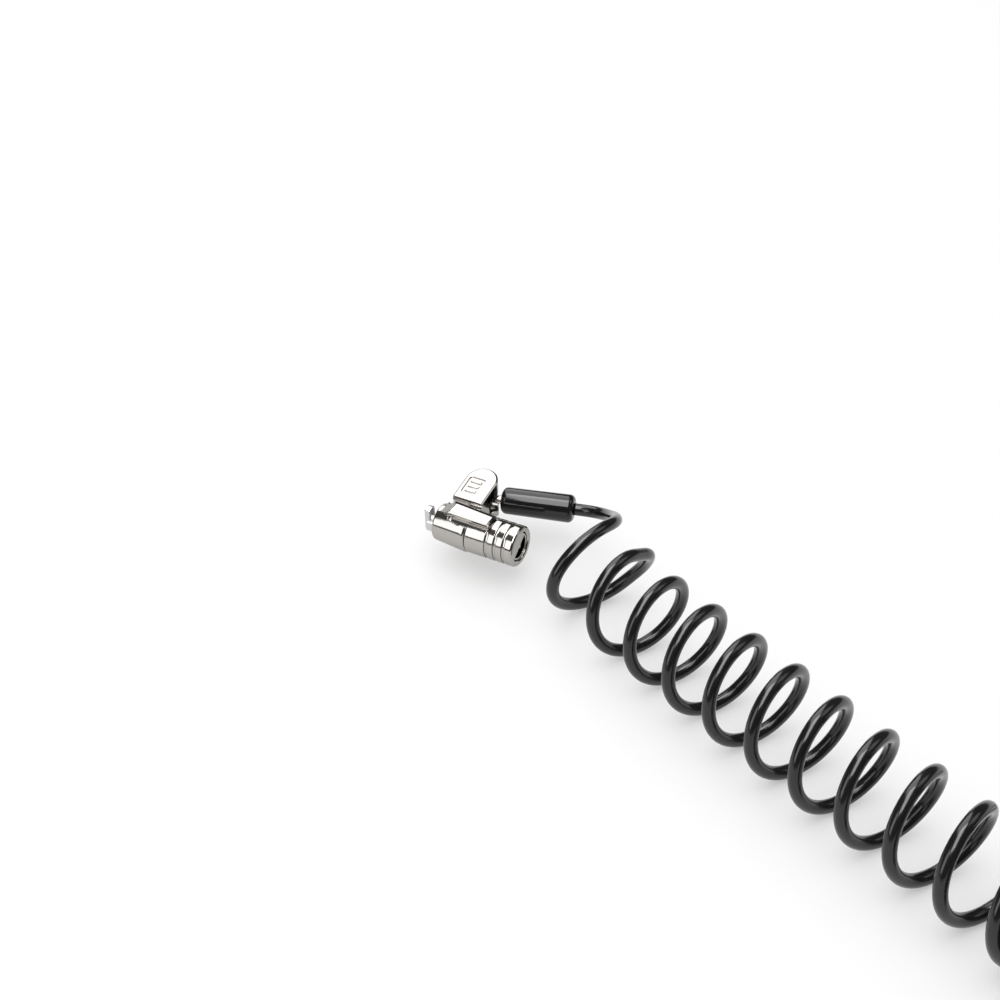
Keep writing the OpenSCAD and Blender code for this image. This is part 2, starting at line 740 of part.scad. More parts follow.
// One code disc: half-round keyway, true gate at the bottom and two false gates
module code_disc(i) {
    from = disc_x + 0.05 + (i - 1) * (disc_t + spacer_t);
    color("goldenrod") prism(from, from + disc_t) difference() {
        circle(disc_r);
        keyway(key_r, key_rib);
        translate([0, -sidebar_at]) circle(gate_r);
        for (k = [0 : 1])
            rotate(48 + 23 * i + 110 * k) translate([0, -disc_r - 0.1]) circle(0.35);
    }
}

module spacer_disc(i) {
    from = disc_x + 0.05 + disc_t + (i - 1) * (disc_t + spacer_t);
    color("gray") prism(from, from + spacer_t) difference() {
        circle(disc_r);
        circle(key_r + 0.05);
        translate([0, -sidebar_at]) circle(gate_r);
    }
}

module sidebar() {
    color("gainsboro") translate([0, 0, -sidebar_at]) rod(sidebar_r, disc_x + 0.1, face_x - 0.1);
}

module drive_rod() {
    color("gray") difference() {
        rod(drive_r, drive_tip, disc_x);
        translate([cam_x, 0, 0]) rotate([90, 0, 0])
            cylinder(r = cam_r, h = 3 * drive_r, center = true);
    }
}

module cam_pin() {
    color("dimgray") translate([cam_x, 0, 0]) rotate([90, 0, 0])
        cylinder(r = cam_r, h = 2 * shank_r - 0.06, center = true);
}

// ---- Cable terminal ----

module cable_eye() {
    color("silver") difference() {
        union() {
            translate([pivot_x, pivot_y, -eye_t / 2]) cylinder(r = eye_r, h = eye_t);
            on_ferrule_line() rod(eye_rod_r, pivot_r + 0.5, rod_to);
        }
        translate([pivot_x, pivot_y, -eye_t / 2 - past])
            cylinder(r = pivot_bore_r, h = eye_t + 2 * past);
    }
}

module crimp_tube() {
    color("darkgray") on_ferrule_line() difference() {
        rod(crimp_r, crimp_from, crimp_to);
        rod(rope_r, crimp_from - past, crimp_to + past);
    }
}

module cable_end() {
    color("black") on_ferrule_line() {
        rod(rope_r, rod_to + 0.1, crimp_to);
        rod(cable_r, crimp_to, ferrule_to);
    }
}

module ferrule() {
    arc = [for (a = [0 : 15 : 90]) ferrule_round * [cos(a) - 1, sin(a) - 1]];
    front = [for (p = arc) [ferrule_far_r + p[0], ferrule_to + p[1]]];
    back = [for (i = [len(arc) - 1 : -1 : 0]) [ferrule_r + arc[i][0], ferrule_from - arc[i][1]]];
    color("black") on_ferrule_line() difference() {
        turned(concat([[0, ferrule_from]], back, front, [[0, ferrule_to]]));
        rod(eye_rod_r + 0.05, ferrule_from - past, crimp_from + past);
        rod(crimp_r, crimp_from, crimp_to);
        rod(cable_r, crimp_to - past, ferrule_to + past);
    }
}

module cable_lead() {
    color("black") tube(lead_path(2), 8, ferrule_along, lead_tangent);
}

module cable_coil() {
    color("black") tube(coil_path, 6, lead_tangent, tail_tangent);
}

module cable_tail() {
    color("black") tube(tail_path(2), 8, tail_tangent, sleeve_along);
}

module loop_sleeve() {
    r = cable_r + sleeve_wall;
    turn = atan2(sleeve_along[1], sleeve_along[0]);
    color("dimgray") translate(sleeve_start) rotate([0, 0, turn]) rotate([90, 0, 90])
        linear_extrude(sleeve_l) {
            for (across = [0, loop_across]) translate([across, 0]) circle(r);
            translate([0, -r]) square([loop_across, 2 * r]);
        }
}

module cable_loop() {
    color("black") tube(loop_path(2), 8, sleeve_along, -sleeve_along);
}

say_cable();

collar();
t_bar();
retaining_dowel();
spring_seat_washer();
return_spring();
pivot_pin();
upper_pivot_washer();
lower_pivot_washer();
barrel();
peg_carrier();
end_bezel();
key_face();
disc_cage();
code_disc(1);  // code_disc_1
code_disc(2);  // code_disc_2
code_disc(3);  // code_disc_3
code_disc(4);  // code_disc_4
code_disc(5);  // code_disc_5
code_disc(6);  // code_disc_6
spacer_disc(1);  // spacer_disc_1
spacer_disc(2);  // spacer_disc_2
spacer_disc(3);  // spacer_disc_3
spacer_disc(4);  // spacer_disc_4
spacer_disc(5);  // spacer_disc_5
sidebar();
drive_rod();
cam_pin();
cable_eye();
crimp_tube();
cable_end();
ferrule();
cable_lead();
cable_coil();
cable_tail();
loop_sleeve();
cable_loop();
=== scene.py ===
"""Laptop cable lock: finishes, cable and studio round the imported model.

Lengths are in metres in the model's frame: the origin is on the host's wall at the lock's
axis, +X runs out along that axis, +Y towards the cable tab and +Z up.
"""

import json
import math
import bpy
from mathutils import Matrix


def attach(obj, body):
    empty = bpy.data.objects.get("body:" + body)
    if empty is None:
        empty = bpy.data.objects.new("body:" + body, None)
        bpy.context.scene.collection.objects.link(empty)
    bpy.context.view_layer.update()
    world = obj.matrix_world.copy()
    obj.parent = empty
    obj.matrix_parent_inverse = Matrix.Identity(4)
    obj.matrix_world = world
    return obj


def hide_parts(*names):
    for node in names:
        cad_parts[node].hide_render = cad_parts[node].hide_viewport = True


bl_info = {
    "name": "Laptop Cable Lock",
    "version": (1, 0, 0),
    "blender": (4, 5, 0),
    "location": "View3D > Sidebar > Cable Lock",
    "description": "Dresses a laptop cable lock with its finishes, cable and studio",
    "category": "Object",
}

import bmesh
import bpy
import numpy as np
from mathutils import Matrix, Vector

MM = 0.001
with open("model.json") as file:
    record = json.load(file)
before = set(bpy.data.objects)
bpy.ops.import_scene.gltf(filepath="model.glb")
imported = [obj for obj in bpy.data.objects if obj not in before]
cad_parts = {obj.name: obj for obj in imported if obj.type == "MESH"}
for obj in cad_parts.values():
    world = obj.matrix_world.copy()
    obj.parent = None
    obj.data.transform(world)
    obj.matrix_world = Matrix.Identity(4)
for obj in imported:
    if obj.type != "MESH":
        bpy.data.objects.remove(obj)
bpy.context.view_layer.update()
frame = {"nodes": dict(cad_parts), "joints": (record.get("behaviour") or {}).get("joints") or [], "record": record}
NODES = frame["nodes"]
UP = np.array([0.0, 0.0, 1.0])


# ---- Shader maths ----


class Signal:
    """One socket in a node tree. Arithmetic on it adds Math nodes."""

    def __init__(self, shader, socket):
        self.shader = shader
        self.socket = socket

    def _math(self, operation, *operands):
        return self.shader.node("ShaderNodeMath", {"operation": operation}, dict(enumerate(operands)))

    def __add__(self, other):
        return self._math("ADD", self, other)

    __radd__ = __add__

    def __mul__(self, other):
        return self._math("MULTIPLY", self, other)

    __rmul__ = __mul__

    def clamp(self):
        return self._math("MINIMUM", self._math("MAXIMUM", self, 0.0), 1.0)


class Shader:
    """The node tree of a material or a world, and the nodes that are added to it."""

    def __init__(self, owner):
        owner.use_nodes = True
        self.owner = owner
        self.tree = owner.node_tree
        self.tree.nodes.clear()

    def _feed(self, socket, value):
        if isinstance(value, Signal):
            self.tree.links.new(value.socket, socket)
        else:
            socket.default_value = value

    def node(self, kind, settings, values, output=0):
        """A node of that kind: its settings are set first, then its sockets' values or links."""
        made = self.tree.nodes.new(kind)
        for key, value in settings.items():
            if key == "stops":
                ramp = made.color_ramp.elements
                while len(ramp) < len(value):
                    ramp.new(1.0)
                for stop, (place, colour) in zip(ramp, value):
                    stop.position = place
                    stop.color = colour
            else:
                setattr(made, key, value)
        for key, value in values.items():
            self._feed(made.inputs[key], value)
        return Signal(self, made.outputs[output]) if made.outputs else None

    def coordinates(self, output):
        return self.node("ShaderNodeTexCoord", {}, {}, output)

    def ray(self, output):
        return self.node("ShaderNodeLightPath", {}, {}, output)

    def scaled(self, vector, scale):
        return self.node("ShaderNodeMapping", {}, {"Vector": vector, "Scale": scale})

    def noise(self, vector, scale, detail=2.0, roughness=0.5):
        return self.node(
            "ShaderNodeTexNoise",
            {},
            {"Vector": vector, "Scale": scale, "Detail": detail, "Roughness": roughness},
            "Fac",
        )

    def ramp(self, factor, stops):
        return self.node("ShaderNodeValToRGB", {"stops": stops}, {"Fac": factor}, "Color")

    def mix(self, factor, first, second):
        """A blend of two colours. Its sockets go by number, as each kind of value has an A and a B."""
        return self.node(
            "ShaderNodeMix", {"data_type": "RGBA"}, {"Factor": factor, 6: first, 7: second}, 2
        )

    def bump(self, height, distance, strength=1.0):
        return self.node(
            "ShaderNodeBump", {}, {"Height": height, "Distance": distance, "Strength": strength}
        )

    def finish(self, **values):
        """Ends the material in a Principled shader."""
        sockets = {name.replace("_", " "): value for name, value in values.items()}
        shade = self.node("ShaderNodeBsdfPrincipled", {}, sockets)
        self.node("ShaderNodeOutputMaterial", {}, {"Surface": shade})
        return self.owner


# ---- Materials ----


def grey(value):
    return (value, value, value, 1.0)


def material_shader(name):
    return Shader(bpy.data.materials.new(name))


def bright_nickel():
    """Bright nickel plate over a die casting: clear reflections with a faint orange peel."""
    s = material_shader("bright_nickel")
    place = s.coordinates("Object")
    peel = s.noise(place, 900.0, 2.0)
    cloud = s.noise(place, 160.0, 4.0, 0.6)
    colour = s.mix(cloud, tuple(cable_lock().nickel) + (1.0,), (0.40, 0.385, 0.365, 1.0))
    return s.finish(
        Base_Color=colour,
        Metallic=1.0,
        Specular_Tint=grey(0.75),
        Roughness=(0.07 + 0.10 * cloud).clamp(),
        Normal=s.bump(peel, 0.000008),
    )


def machined_steel():
    """Turned steel: a fine grain that changes fastest along the lock's axis, as a tool leaves it."""
    s = material_shader("machined_steel")
    place = s.coordinates("Object")
    grain = s.noise(s.scaled(place, (6.0, 1.0, 1.0)), 1200.0, 3.0, 0.6)
    return s.finish(
        Base_Color=s.mix(grain, (0.50, 0.50, 0.50, 1.0), (0.66, 0.655, 0.645, 1.0)),
        Metallic=1.0,
        Roughness=(0.22 + 0.16 * grain).clamp(),
        Normal=s.bump(grain, 0.000006),
    )


def disc_brass():
    """Stamped brass with a slight brown film."""
    s = material_shader("disc_brass")
    place = s.coordinates("Object")
    film = s.noise(place, 420.0, 4.0, 0.6)
    return s.finish(
        Base_Color=s.mix(film, (0.58, 0.42, 0.17, 1.0), (0.80, 0.64, 0.33, 1.0)),
        Metallic=1.0,
        Roughness=(0.20 + 0.22 * film).clamp(),
        Normal=s.bump(film, 0.000006),
    )


def ferrule_black():
    """Glossy moulded black plastic with a faint orange peel."""
    s = material_shader("ferrule_black")
    place = s.coordinates("Object")
    peel = s.noise(place, 700.0, 2.0)
    haze = s.noise(place, 220.0, 3.0)
    return s.finish(
        Base_Color=s.mix(haze, grey(0.006), grey(0.012)),
        Roughness=(0.07 + 0.06 * haze).clamp(),
        IOR=1.45,
        Normal=s.bump(peel, 0.00001),
    )


def sleeve_black():
    """Satin black plastic of the crimp sleeve, pressed round the cable."""
    s = material_shader("sleeve_black")
    place = s.coordinates("Object")
    press = s.noise(place, 500.0, 4.0, 0.6)
    return s.finish(
        Base_Color=s.mix(press, grey(0.012), grey(0.03)),
        Roughness=(0.38 + 0.2 * press).clamp(),
        Normal=s.bump(press, 0.00002),
    )


def cable_black():
    """Extruded PVC jacket: die lines along it and a soft haze, on the tube's own UV map."""
    s = material_shader("cable_black")
    place = s.coordinates("UV")
    lines = s.noise(s.scaled(place, (9.0, 6.0, 1.0)), 3.0, 3.0, 0.6)
    haze = s.noise(s.coordinates("Object"), 260.0, 3.0, 0.6)
    return s.finish(
        Base_Color=s.mix(haze, grey(0.0045), grey(0.011)),
        Roughness=(0.13 + 0.09 * haze).clamp(),
        IOR=1.5,
        Normal=s.bump(lines, 0.00001),
    )


MATERIAL_OF_SLOT = {
    "polished_nickel": bright_nickel,
    "steel": machined_steel,
    "brass": disc_brass,
    "black_plastic": ferrule_black,
    "black_sleeve": sleeve_black,
    "cable_jacket": cable_black,
}


def finish_of(slot):
    """The material of a slot, made when it is first asked for."""
    name = MATERIAL_OF_SLOT[slot].__name__
    return bpy.data.materials.get(name) or MATERIAL_OF_SLOT[slot]()


# ---- Shapes ----


def unit(vector):
    """The vector divided by its length."""
    vector = np.asarray(vector, float)
    return vector / np.linalg.norm(vector)


def spline(points, steps):
    """A smooth curve through all but the first and last point, by the Catmull-Rom formula."""
    p = np.asarray(points, float)
    s = (np.arange(steps) / steps)[None, :, None]
    a, b, c, d = p[:-3, None], p[1:-2, None], p[2:-1, None], p[3:, None]
    curve = 0.5 * (
        2 * b + (c - a) * s + (2 * a - 5 * b + 4 * c - d) * s**2 + (3 * b - a - 3 * c + d) * s**3
    )
    return np.vstack([curve.reshape(-1, 3), p[-2:-1]])


def distance_along(path):
    """How far each point lies along the path: the running sum of the steps before it."""
    return np.concatenate([[0.0], np.cumsum(np.linalg.norm(np.diff(path, axis=0), axis=1))])


def carried_frames(path, first, last):
    """Headings along the path and a pair of vectors square to each. The first of the pair is
    the one before it less its share along the new heading, so it turns with least twist."""
    along = np.empty_like(path)
    along[1:-1] = path[2:] - path[:-2]
    along[0], along[-1] = first, last
    along /= np.linalg.norm(along, axis=1)[:, None]
    across = np.empty_like(path)
    side = unit(np.cross(along[0], UP))
    for i, heading in enumerate(along):
        side = unit(side - side.dot(heading) * heading)
        across[i] = side
    return along, across, np.cross(along, across)


def mesh_object(name, points, faces):
    """An object with that mesh, shaded smooth, at the origin."""
    mesh = bpy.data.meshes.new(name)
    mesh.from_pydata(points.tolist(), [], faces)
    mesh.validate()
    mesh.shade_smooth()
    made = bpy.data.objects.new(name, mesh)
    bpy.context.scene.collection.objects.link(made)
    return made


def tube(name, path, radius, sides, first, last):
    """A round tube, closed by a flat disc at each end: at each path point P it is
    P + radius * (cos(t) * across + sin(t) * upward). The UV map's U goes once round it, and V
    is metres along it."""
    path = np.asarray(path, float)
    rings = len(path)
    _, across, upward = carried_frames(path, first, last)
    turn = 2 * np.pi * np.arange(sides) / sides
    cosine, sine = np.cos(turn)[:, None], np.sin(turn)[:, None]
    circle = cosine * across[:, None] + sine * upward[:, None]
    points = (path[:, None] + radius * circle).reshape(-1, 3)
    ring, side = np.meshgrid(np.arange(rings - 1), np.arange(sides), indexing="ij")
    a = ring * sides + side
    b = ring * sides + (side + 1) % sides
    walls = np.stack([a, b, b + sides, a + sides], axis=-1).reshape(-1, 4)
    caps = [list(range(sides - 1, -1, -1)), [(rings - 1) * sides + k for k in range(sides)]]
    made = mesh_object(name, points, walls.tolist() + caps)
    way = distance_along(path)
    u = np.stack([side, side + 1, side + 1, side], axis=-1).reshape(-1) / sides
    v = np.stack([way[ring], way[ring], way[ring + 1], way[ring + 1]], axis=-1).reshape(-1)
    uv = np.zeros((len(made.data.loops), 2))
    uv[: len(u), 0] = u
    uv[: len(v), 1] = v
    layer = made.data.uv_layers.new(name="UVMap")
    layer.data.foreach_set("uv", uv.reshape(-1))
    return made


def turned(name, profile, sides):
    """The surface that a closed profile of (distance along, radius) sweeps round the ferrule's
    axis: for each such pair it is pivot + distance * along + radius * (cos(t) * across + sin(t) * Z)."""
    profile = np.asarray(profile, float)
    rows = len(profile)
    turn = 2 * np.pi * np.arange(sides) / sides
    across = np.array([-FERRULE_ALONG[1], FERRULE_ALONG[0], 0.0])
    circle = np.cos(turn)[:, None] * across + np.sin(turn)[:, None] * UP
    distance, radius = profile[:, None, :1], profile[:, None, 1:]
    points = (PIVOT + distance * FERRULE_ALONG + radius * circle).reshape(-1, 3)
    row, side = np.meshgrid(np.arange(rows), np.arange(sides), indexing="ij")
    below, beside = (row + 1) % rows, (side + 1) % sides
    walls = [row * sides + side, row * sides + beside, below * sides + beside, below * sides + side]
    return mesh_object(name, points, np.stack(walls, axis=-1).reshape(-1, 4).tolist())


def softened(node, body, slot, width):
    """A copy of a node whose sharp edges are rounded. Its loose triangles are merged and flat
    stretches become single faces. Every sharp edge gets a bevel of that width, or of a share of
    the shortest edge that it meets where that is less."""
    same_place, flat_angle, sharp_angle, share = 1e-6, math.radians(0.4), math.radians(24), 0.4
    shape = bmesh.new()
    shape.from_mesh(NODES[node].data)
    bmesh.ops.remove_doubles(shape, verts=shape.verts, dist=same_place)
    bmesh.ops.dissolve_limit(
        shape, angle_limit=flat_angle, verts=shape.verts, edges=shape.edges, delimit={"NORMAL"}
    )
    weight = shape.edges.layers.float.new("bevel_weight_edge")
    for edge in shape.edges:
        if len(edge.link_faces) == 2 and edge.calc_face_angle() > sharp_angle:
            met = [other.calc_length() for end in edge.verts for other in end.link_edges]
            edge[weight] = min(1.0, share * min(met) / width)
    mesh = bpy.data.meshes.new(node + "_soft")
    shape.to_mesh(mesh)
    shape.free()
    mesh.shade_smooth()
    made = bpy.data.objects.new(node + "_soft", mesh)
    bpy.context.scene.collection.objects.link(made)
    bevel = made.modifiers.new("rounded edges", "BEVEL")
    bevel.width, bevel.segments = width, 3
    bevel.limit_method = "WEIGHT"
    bevel.use_clamp_overlap = False
    weigh = made.modifiers.new("flat faces stay flat", "WEIGHTED_NORMAL")
    weigh.mode, weigh.weight = "FACE_AREA", 100
    made.data.materials.append(finish_of(slot))
    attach(made, body)
    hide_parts(node)


# ---- Cable route, as the construction has it ----

PIVOT = np.array(
    next(joint["pos_m"] for joint in frame["joints"] if joint["name"] == "terminal_pivot"), float
)
FERRULE_TURN = math.radians(15.0)
FERRULE_START = 5.25 * MM
FERRULE_LENGTH = 18.2 * MM
FERRULE_END = FERRULE_START + FERRULE_LENGTH
FERRULE_ALONG = np.array([math.cos(FERRULE_TURN), math.sin(FERRULE_TURN), 0.0])
EXIT = PIVOT + FERRULE_END * FERRULE_ALONG
TABLE = -10.0 * MM

# Points listed one by one. The lead's lie in the model's frame. The tail's and the loop's lie along,
# beside and above the heading with which each starts.
LEAD_ROUTE = MM * np.array([
    (33.5, 19.4, 0.8), (37.8, 16.6, 3.3), (41.6, 12.0, 7.0), (43.6, 6.4, 10.4),
    (42.7, 0.4, 12.0), (40.8, -5.0, 11.1), (38.6, -9.6, 7.9), (37.1, -11.8, 3.2),
    (37.0, -11.0, -2.0), (38.4, -7.2, -6.2), (41.1, -1.6, -8.4), (44.8, 3.2, -7.4),
    (48.4, 6.0, -3.8), (51.6, 6.4, 0.6), (53.8, 4.2, 5.4),
])
TAIL_ROUTE = MM * np.array([
    (0, 0, 0), (9, 0, 0), (18, 1, 0.1), (27, 4.2, 0.2), (34.5, 9.8, 0.3), (39.6, 17.4, 0.5),
    (42, 26.4, 0.5),
])
LOOP_ROUTE = MM * np.array([
    (0, 0, 0), (4, -0.3, 0), (10, -2.6, -0.1), (18, -7.0, -0.3), (27, -10.6, -0.5),
    (36, -10.0, -0.5), (42, -5.0, -0.5), (44, 1.9, -0.5), (42, 8.8, -0.5),
    (36, 13.8, -0.5), (27, 14.4, -0.5), (18, 10.8, -0.3), (10, 6.4, -0.1),
    (4, 4.1, 0), (0, 3.8, 0),
])
SLEEVE_LENGTH = 15.0 * MM

COIL_START = np.array([52.4, -8.5]) * MM
FIRST_TURN = -30.0 / 360.0
OPEN_TURNS = 9.5
RELAXED_TURNS = 13


class Coil:
    """The coil's centreline, which lies on the table. Its pitch eases from open to relaxed over
    one turn."""

    def __init__(self, sizes):
        heading = sizes.coil_heading
        self.radius = sizes.coil_radius
        self.open_pitch, self.relaxed_pitch = sizes.open_pitch, sizes.relaxed_pitch
        self.along = np.array([math.cos(heading), math.sin(heading), 0.0])
        self.front = np.array([math.sin(heading), -math.cos(heading), 0.0])
        height = self.radius + sizes.cable_diameter / 2 + TABLE
        self.start = np.append(COIL_START, height)
        self.first = FIRST_TURN
        self.last = OPEN_TURNS + RELAXED_TURNS

    def way(self, n):
        """Distance along the coil's axis after n turns: the pitch's integral over the turns."""
        fall = self.open_pitch - self.relaxed_pitch
        m = np.clip(n - OPEN_TURNS, 0.0, None)
        easing = np.where(m < 1, m * m / 2, m - 0.5)
        return self.open_pitch * n - fall * easing

    def at(self, n):
        """The point after n turns: start + way * along + radius * (cos(t) * Z + sin(t) * front),
        where t is n turns in radians."""
        n = np.asarray(n, float)
        turn = 2 * np.pi * n[..., None]
        return (
            self.start
            + self.way(n)[..., None] * self.along
            + self.radius * (np.cos(turn) * UP + np.sin(turn) * self.front)
        )

    def heading(self, n):
        """The direction between two points just before and just after n turns."""
        step = 0.0005
        return unit(self.at(n + step) - self.at(n - step))


def eased(path, reach):
    """The path in even steps, each point the mean of those within reach, as a stiff cable eases
    its bends. The window is 1 + cos(pi * k / (half + 1)) for the point k steps away. Past each
    end the path goes on as its own mirror through that end, so the ends stay."""
    way = distance_along(path)
    half = 7  # steps within reach, to either side
    even = np.linspace(0.0, way[-1], int(round(way[-1] / reach * half)) + 1)
    path = np.stack([np.interp(even, way, path[:, axis]) for axis in range(3)], axis=-1)
    before, after = 2 * path[0] - path[half:0:-1], 2 * path[-1] - path[-2:-2 - half:-1]
    window = np.hanning(2 * half + 3)[1:-1]
    window /= window.sum()
    long = np.vstack([before, path, after])
    return np.stack([np.convolve(long[:, axis], window, "valid") for axis in range(3)], axis=-1)


def cable_path(sizes):
    """Points along the whole cable: slack turn, coil, tail, through the sleeve and the loop.
    Also the headings at its two ends."""
    steps, loop_steps, points_per_turn = 8, 10, 48
    tail_lead, loop_lead, bend_reach = 8 * MM, 4 * MM, 3.6 * MM
    coil = Coil(sizes)
    thick = sizes.cable_diameter
    lead_heading, tail_heading = coil.heading(coil.first), coil.heading(coil.last)
    lead_end = coil.at(coil.first) - thick * lead_heading
    tail_start = coil.at(coil.last) + thick * tail_heading
    tail_side = np.array([-tail_heading[1], tail_heading[0], 0.0])

    run_in = 3 * MM * FERRULE_ALONG
    lead = spline(
        np.vstack([
            EXIT - run_in, EXIT, EXIT + run_in, LEAD_ROUTE,
            lead_end - thick * lead_heading, lead_end, lead_end + thick * lead_heading,
        ]),
        steps,
    )
    lead = eased(lead, bend_reach)
    count = int(points_per_turn * (coil.last - coil.first))
    turns = coil.at(np.linspace(coil.first, coil.last, count))
    # The tail bends a quarter turn to its left, so the loop's heading is the tail's left
    tail = tail_start + TAIL_ROUTE @ np.array([tail_heading, tail_side, UP])
    before, after = tail[0] - tail_lead * tail_heading, tail[-1] + tail_lead * tail_side
    tail = spline(np.vstack([before, tail, after]), steps)
    loop_start = tail[-1] + SLEEVE_LENGTH * tail_side
    loop = loop_start + LOOP_ROUTE @ np.array([tail_side, -tail_heading, UP])
    before, after = loop[0] - loop_lead * tail_side, loop[-1] - loop_lead * tail_side
    loop = spline(np.vstack([before, loop, after]), loop_steps)
    path = np.vstack([lead[:-1], lead_end[None], turns, tail, loop])
    return path, FERRULE_ALONG, -tail_side


# ---- Sizes and colours that a user would change ----


class CableLockSettings(bpy.types.PropertyGroup):
    """Sizes and colours of the dressed lock."""

    cable_diameter: bpy.props.FloatProperty(
        name="Cable diameter", description="Over the jacket", default=3.0 * MM, unit="LENGTH"
    )
    coil_radius: bpy.props.FloatProperty(
        name="Coil radius", description="To the cable's centre", default=10.6 * MM, unit="LENGTH"
    )
    open_pitch: bpy.props.FloatProperty(
        name="Open pitch", description="Rise of one open turn", default=12.4 * MM, unit="LENGTH"
    )
    relaxed_pitch: bpy.props.FloatProperty(
        name="Relaxed pitch", description="Rise of one relaxed turn", default=4.2 * MM, unit="LENGTH"
    )
    coil_heading: bpy.props.FloatProperty(
        name="Coil heading", description="From +X towards +Y in plan",
        default=math.radians(-23.0), unit="ROTATION",
    )
    nickel: bpy.props.FloatVectorProperty(
        name="Nickel", description="Tint of the plating", default=(0.44, 0.425, 0.405), subtype="COLOR"
    )
    floor: bpy.props.FloatVectorProperty(
        name="Floor", description="Colour of the table", default=(0.52, 0.52, 0.52), subtype="COLOR"
    )


def cable_lock():
    """The scene's settings."""
    return bpy.context.scene.cable_lock


# ---- Operators ----


class CABLELOCK_OT_camera(bpy.types.Operator):
    """Adds the camera, in front of the lock's key end and above it"""

    bl_idname = "cable_lock.camera"
    bl_label = "Add Camera"

    sensor_width, lens, clip_start = 36.0, 61.2, 0.01
    place = Vector((0.1763, -0.2767, 0.2546))
    right = Vector((0.876, 0.482, -0.0255))
    up = Vector((-0.274, 0.540, 0.7966))

    def execute(self, context):
        data = bpy.data.cameras.new("camera")
        data.sensor_width = self.sensor_width
        data.lens = self.lens
        data.clip_start = self.clip_start
        camera = bpy.data.objects.new("camera", data)
        context.scene.collection.objects.link(camera)
        right = self.right.normalized()
        up = (self.up - self.up.dot(right) * right).normalized()
        back = right.cross(up)
        turn = Matrix((right, up, back)).transposed().to_4x4()
        camera.matrix_world = Matrix.Translation(self.place) @ turn
        context.scene.camera = camera
        return {"FINISHED"}


class CABLELOCK_OT_cable(bpy.types.Operator):
    """Lays the jacketed cable from the ferrule, through its coil, to the loop"""

    bl_idname = "cable_lock.cable"
    bl_label = "Add Cable"

    sides = 20

    def execute(self, context):
        sizes = cable_lock()
        path, first, last = cable_path(sizes)
        cable = tube("cable", path, sizes.cable_diameter / 2, self.sides, first, last)
        cable.data.materials.append(finish_of("cable_jacket"))
        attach(cable, "terminal")
        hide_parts("cable_lead", "cable_coil", "cable_tail", "cable_loop")
        return {"FINISHED"}


class CABLELOCK_OT_ferrule(bpy.types.Operator):
    """Turns the black ferrule that is moulded over the cable's crimped end"""

    bl_idname = "cable_lock.ferrule"
    bl_label = "Add Ferrule"

    sides = 96
    near_radius, far_radius, rounding = 3.35 * MM, 3.50 * MM, 1.4 * MM
    rod_radius, crimp_radius = 1.15 * MM, 2.0 * MM
    near_wall, far_wall = 0.65 * MM, 4.7 * MM
    # Close rings beside each sharp edge keep the smooth shading off the flats
    edge = 0.05 * MM

    def execute(self, context):
        # Each end is rounded by a quarter circle: rounding * (1 - sin(t)) in from the end and
        # rounding * (1 - cos(t)) in from the side
        quarter = np.radians(np.arange(0, 91, 7.5))
        arc = self.rounding * np.stack([1 - np.sin(quarter), np.cos(quarter) - 1], axis=-1)
        near, far, edge = FERRULE_START, FERRULE_END, self.edge
        cavity = (near + self.near_wall, far - self.far_wall)
        rod, crimp, cable = self.rod_radius, self.crimp_radius, cable_lock().cable_diameter / 2
        profile = [
            (near, rod), (near, rod + edge), (near, self.near_radius - self.rounding - edge),
            *((near + along, self.near_radius + out) for along, out in arc[::-1]),
            *((far - along, self.far_radius + out) for along, out in arc),
            (far, self.far_radius - self.rounding - edge), (far, cable + edge), (far, cable),
            (far - edge, cable), (cavity[1], cable), (cavity[1], crimp), (cavity[0], crimp),
            (cavity[0], rod), (near + edge, rod),
        ]
        made = turned("ferrule_moulding", profile, self.sides)
        made.data.materials.append(finish_of("black_plastic"))
        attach(made, "terminal")
        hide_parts("ferrule")
        return {"FINISHED"}


class CABLELOCK_OT_castings(bpy.types.Operator):
    """Rounds the edges of the plated castings and of the steel that shows at the slot"""

    bl_idname = "cable_lock.castings"
    bl_label = "Add Castings"

    # Node, the body it belongs to, its material slot and the width of its rounded edges
    pieces = (
        ("collar", "collar", "polished_nickel", 0.18 * MM),
        ("barrel", "barrel", "polished_nickel", 0.20 * MM),
        ("end_bezel", "barrel", "polished_nickel", 0.08 * MM),
        ("key_face", "core", "polished_nickel", 0.08 * MM),
        ("t_bar", "collar", "steel", 0.12 * MM),
        ("peg_carrier", "barrel", "steel", 0.10 * MM),
    )

    def execute(self, context):
        for row in self.pieces:
            softened(*row)
        return {"FINISHED"}


class CABLELOCK_OT_finishes(bpy.types.Operator):
    """Gives every carried-over node the finish of its material slot"""

    bl_idname = "cable_lock.finishes"
    bl_label = "Apply Finishes"

    def execute(self, context):
        for row in frame["record"]["subparts"]:
            mesh = NODES[row["node"]].data
            mesh.materials.clear()
            mesh.materials.append(finish_of(row["material_slot"]))
        return {"FINISHED"}


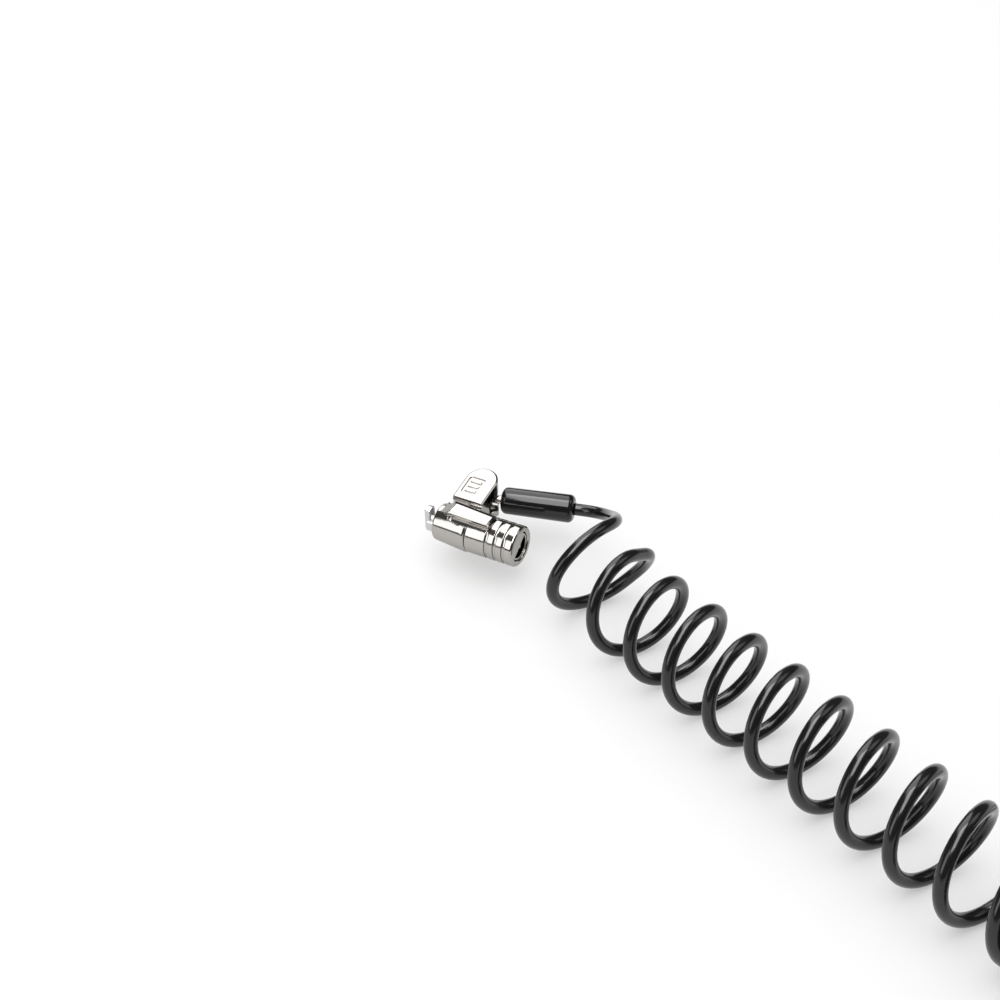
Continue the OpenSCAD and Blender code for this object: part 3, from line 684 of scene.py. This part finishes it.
class CABLELOCK_OT_stage(bpy.types.Operator):
    """Adds the pale floor, the soft lights and the room that the plating mirrors"""

    bl_idname = "cable_lock.stage"
    bl_label = "Add Stage"

    def execute(self, context):
        reach = 3.0
        corners = [(x * reach, y * reach, TABLE) for x, y in ((-1, -1), (1, -1), (1, 1), (-1, 1))]
        floor = mesh_object("floor", np.array(corners), [(0, 1, 2, 3)])
        s = material_shader("floor_card")
        mottle = s.noise(s.coordinates("Object"), 40.0, 3.0)
        tint = tuple(cable_lock().floor)
        card = s.finish(
            Base_Color=s.mix(mottle, tint + (1.0,), tuple(0.985 * c for c in tint) + (1.0,)),
            Roughness=0.65,
            Emission_Color=grey(1.0),
            Emission_Strength=0.33,
        )
        floor.data.materials.append(card)
        self.room(context)
        for row in self.cards:
            self.card(context, *row)
        context.scene.view_settings.view_transform = "Standard"
        return {"FINISHED"}

    # Name, degrees from overhead towards the back, degrees towards +X, distance, width, height,
    # radiance, and whether it is there for the reflections or for the light
    cards = (
        ("plating_top", 28.0, -24.0, 1.40, 1.00, 1.96, 2.8, True),
        ("plating_front", -59.0, -24.0, 1.80, 0.90, 1.31, 2.6, True),
        ("plating_side", 32.0, 35.0, 1.60, 0.70, 0.90, 1.3, True),
        ("key_window", -13.0, 4.0, 1.40, 0.80, 1.49, 7.0, True),
        ("key", -13.0, 0.0, 1.40, 1.50, 1.50, 0.6, False),
    )

    def card(self, context, name, lean, side, distance, width, height, radiance, mirrored):
        """A soft box that faces the lock: an area light of radiance L and area A needs
        pi * L * A watts."""
        data = bpy.data.lights.new(name, "AREA")
        data.shape, data.size, data.size_y = "RECTANGLE", width, height
        data.energy = math.pi * radiance * width * height
        light = bpy.data.objects.new(name, data)
        light.visible_glossy, light.visible_diffuse = mirrored, not mirrored
        lean, side = math.radians(lean), math.radians(side)
        way = Vector((
            math.sin(side), math.cos(side) * math.sin(lean), math.cos(side) * math.cos(lean),
        ))
        light.location = distance * way
        light.rotation_euler = way.to_track_quat("Z", "Y").to_euler()
        context.scene.collection.objects.link(light)

    def room(self, context):
        """Even white light on every surface and beyond the floor's edge, and for the
        reflections a dark studio, a little paler overhead than at the horizon."""
        world = bpy.data.worlds.new("room")
        world.cycles.sampling_method = "NONE"
        context.scene.world = world
        s = Shader(world)
        height = s.node("ShaderNodeSeparateXYZ", {}, {0: s.coordinates("Generated")}, "Z")
        studio = s.ramp(height, [(0.0, grey(0.05)), (1.0, grey(0.10))])
        dark = s.node("ShaderNodeBackground", {}, {"Color": studio})
        white = s.node("ShaderNodeBackground", {}, {"Color": grey(1.0), "Strength": 1.15})
        direct = s.node(
            "ShaderNodeMath", {"operation": "MAXIMUM"},
            {0: s.ray("Is Diffuse Ray"), 1: s.ray("Is Camera Ray")},
        )
        either = s.node("ShaderNodeMixShader", {}, {0: direct, 1: dark, 2: white})
        s.node("ShaderNodeOutputWorld", {}, {"Surface": either})


class CABLELOCK_PT_panel(bpy.types.Panel):
    """The lock's settings and operators in the sidebar"""

    bl_label = "Cable Lock"
    bl_space_type = "VIEW_3D"
    bl_region_type = "UI"
    bl_category = "Cable Lock"

    def draw(self, context):
        for name in CableLockSettings.__annotations__:
            self.layout.prop(cable_lock(), name)
        for operator in OPERATORS:
            self.layout.operator(operator.bl_idname)


OPERATORS = (
    CABLELOCK_OT_camera, CABLELOCK_OT_finishes, CABLELOCK_OT_cable, CABLELOCK_OT_ferrule,
    CABLELOCK_OT_castings, CABLELOCK_OT_stage,
)
CLASSES = (CableLockSettings,) + OPERATORS + (CABLELOCK_PT_panel,)


def register():
    for cls in CLASSES:
        bpy.utils.register_class(cls)
    bpy.types.Scene.cable_lock = bpy.props.PointerProperty(type=CableLockSettings)


def unregister():
    del bpy.types.Scene.cable_lock
    for cls in reversed(CLASSES):
        bpy.utils.unregister_class(cls)


def main():
    register()
    bpy.ops.cable_lock.camera()
    bpy.ops.cable_lock.finishes()
    bpy.ops.cable_lock.cable()
    bpy.ops.cable_lock.ferrule()
    bpy.ops.cable_lock.castings()
    bpy.ops.cable_lock.stage()


if __name__ == "__main__":
    main()
